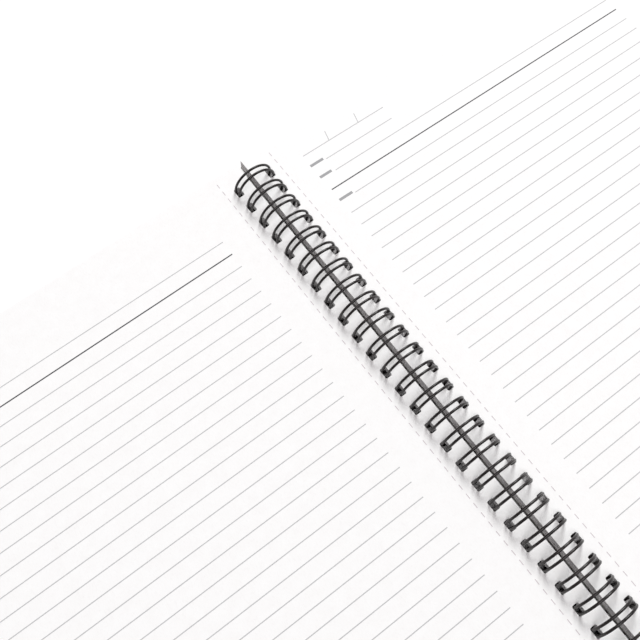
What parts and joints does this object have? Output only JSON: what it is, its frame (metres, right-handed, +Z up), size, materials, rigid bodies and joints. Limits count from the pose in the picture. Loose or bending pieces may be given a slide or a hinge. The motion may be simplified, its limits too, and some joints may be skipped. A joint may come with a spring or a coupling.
{
  "type": "twin-loop wirebound notebook",
  "caption": "Wirebound notebook lying open flat: a twin-loop wire through punched sheets, with covers and ruled perforated leaves that turn about the spine.",
  "frame": {"origin": "on the floor, under the middle of the spine: the bottom centre of the whole open notebook", "axes": "+Y along the spine towards the head of the pages, -X the left page, +X the right page, +Z up"},
  "size_m": [0.3704, 0.2414, 0.0175],
  "materials": {
    "twin_loop_wire": "satin dark brown-black coating",
    "front_cover": "matte dark board",
    "back_cover": "matte dark board",
    "left_bundle_5": "matte white writing paper",
    "left_bundle_4": "matte white writing paper",
    "left_bundle_3": "matte white writing paper",
    "left_bundle_2": "matte white writing paper",
    "left_bundle_1": "matte white writing paper",
    "left_leaf_4": "matte white writing paper",
    "left_leaf_3": "matte white writing paper",
    "left_leaf_2": "matte white writing paper",
    "left_leaf_1": "matte white writing paper",
    "right_bundle_5": "matte white writing paper",
    "right_bundle_4": "matte white writing paper",
    "right_bundle_3": "matte white writing paper",
    "right_bundle_2": "matte white writing paper",
    "right_bundle_1": "matte white writing paper",
    "right_leaf_4": "matte white writing paper",
    "right_leaf_3": "matte white writing paper",
    "right_leaf_2": "matte white writing paper",
    "right_leaf_1": "matte white writing paper"
  },
  "bodies": {
    "wire": {"twin_loop_wire": "twin_loop_wire"},
    "front_cover_body": {"front_cover": "front_cover"},
    "back_cover_body": {"back_cover": "back_cover"},
    "left_bundle_5_body": {"left_bundle_5": "left_bundle_5"},
    "left_bundle_4_body": {"left_bundle_4": "left_bundle_4"},
    "left_bundle_3_body": {"left_bundle_3": "left_bundle_3"},
    "left_bundle_2_body": {"left_bundle_2": "left_bundle_2"},
    "left_bundle_1_body": {"left_bundle_1": "left_bundle_1"},
    "left_leaf_4_body": {"left_leaf_4": "left_leaf_4"},
    "left_leaf_3_body": {"left_leaf_3": "left_leaf_3"},
    "left_leaf_2_body": {"left_leaf_2": "left_leaf_2"},
    "left_leaf_1_body": {"left_leaf_1": "left_leaf_1"},
    "right_bundle_5_body": {"right_bundle_5": "right_bundle_5"},
    "right_bundle_4_body": {"right_bundle_4": "right_bundle_4"},
    "right_bundle_3_body": {"right_bundle_3": "right_bundle_3"},
    "right_bundle_2_body": {"right_bundle_2": "right_bundle_2"},
    "right_bundle_1_body": {"right_bundle_1": "right_bundle_1"},
    "right_leaf_4_body": {"right_leaf_4": "right_leaf_4"},
    "right_leaf_3_body": {"right_leaf_3": "right_leaf_3"},
    "right_leaf_2_body": {"right_leaf_2": "right_leaf_2"},
    "right_leaf_1_body": {"right_leaf_1": "right_leaf_1"}
  },
  "joints": [
    {"name": "front_cover_turn", "type": "hinge", "parent": "wire", "child": "front_cover_body", "pos_m": [0, 0, 0.00905], "axis": [0, 1, 0], "range_deg": [0, 180]},
    {"name": "back_cover_turn", "type": "hinge", "parent": "wire", "child": "back_cover_body", "pos_m": [0, 0, 0.00905], "axis": [0, 1, 0], "range_deg": [-180, 0]},
    {"name": "left_bundle_5_turn", "type": "hinge", "parent": "front_cover_body", "child": "left_bundle_5_body", "pos_m": [0, 0, 0.00905], "axis": [0, -1, 0], "range_deg": [-180, 0]},
    {"name": "left_bundle_4_turn", "type": "hinge", "parent": "left_bundle_5_body", "child": "left_bundle_4_body", "pos_m": [0, 0, 0.00905], "axis": [0, -1, 0], "range_deg": [-180, 0]},
    {"name": "left_bundle_3_turn", "type": "hinge", "parent": "left_bundle_4_body", "child": "left_bundle_3_body", "pos_m": [0, 0, 0.00905], "axis": [0, -1, 0], "range_deg": [-180, 0]},
    {"name": "left_bundle_2_turn", "type": "hinge", "parent": "left_bundle_3_body", "child": "left_bundle_2_body", "pos_m": [0, 0, 0.00905], "axis": [0, -1, 0], "range_deg": [-180, 0]},
    {"name": "left_bundle_1_turn", "type": "hinge", "parent": "left_bundle_2_body", "child": "left_bundle_1_body", "pos_m": [0, 0, 0.00905], "axis": [0, -1, 0], "range_deg": [-180, 0]},
    {"name": "left_leaf_4_turn", "type": "hinge", "parent": "left_bundle_1_body", "child": "left_leaf_4_body", "pos_m": [0, 0, 0.00905], "axis": [0, -1, 0], "range_deg": [-180, 0]},
    {"name": "left_leaf_3_turn", "type": "hinge", "parent": "left_leaf_4_body", "child": "left_leaf_3_body", "pos_m": [0, 0, 0.00905], "axis": [0, -1, 0], "range_deg": [-180, 0]},
    {"name": "left_leaf_2_turn", "type": "hinge", "parent": "left_leaf_3_body", "child": "left_leaf_2_body", "pos_m": [0, 0, 0.00905], "axis": [0, -1, 0], "range_deg": [-180, 0]},
    {"name": "left_leaf_1_turn", "type": "hinge", "parent": "left_leaf_2_body", "child": "left_leaf_1_body", "pos_m": [0, 0, 0.00905], "axis": [0, -1, 0], "range_deg": [-180, 0]},
    {"name": "right_bundle_5_turn", "type": "hinge", "parent": "back_cover_body", "child": "right_bundle_5_body", "pos_m": [0, 0, 0.00905], "axis": [0, 1, 0], "range_deg": [-180, 0]},
    {"name": "right_bundle_4_turn", "type": "hinge", "parent": "right_bundle_5_body", "child": "right_bundle_4_body", "pos_m": [0, 0, 0.00905], "axis": [0, 1, 0], "range_deg": [-180, 0]},
    {"name": "right_bundle_3_turn", "type": "hinge", "parent": "right_bundle_4_body", "child": "right_bundle_3_body", "pos_m": [0, 0, 0.00905], "axis": [0, 1, 0], "range_deg": [-180, 0]},
    {"name": "right_bundle_2_turn", "type": "hinge", "parent": "right_bundle_3_body", "child": "right_bundle_2_body", "pos_m": [0, 0, 0.00905], "axis": [0, 1, 0], "range_deg": [-180, 0]},
    {"name": "right_bundle_1_turn", "type": "hinge", "parent": "right_bundle_2_body", "child": "right_bundle_1_body", "pos_m": [0, 0, 0.00905], "axis": [0, 1, 0], "range_deg": [-180, 0]},
    {"name": "right_leaf_4_turn", "type": "hinge", "parent": "right_bundle_1_body", "child": "right_leaf_4_body", "pos_m": [0, 0, 0.00905], "axis": [0, 1, 0], "range_deg": [-180, 0]},
    {"name": "right_leaf_3_turn", "type": "hinge", "parent": "right_leaf_4_body", "child": "right_leaf_3_body", "pos_m": [0, 0, 0.00905], "axis": [0, 1, 0], "range_deg": [-180, 0]},
    {"name": "right_leaf_2_turn", "type": "hinge", "parent": "right_leaf_3_body", "child": "right_leaf_2_body", "pos_m": [0, 0, 0.00905], "axis": [0, 1, 0], "range_deg": [-180, 0]},
    {"name": "right_leaf_1_turn", "type": "hinge", "parent": "right_leaf_2_body", "child": "right_leaf_1_body", "pos_m": [0, 0, 0.00905], "axis": [0, 1, 0], "range_deg": [-180, 0]}
  ]
}
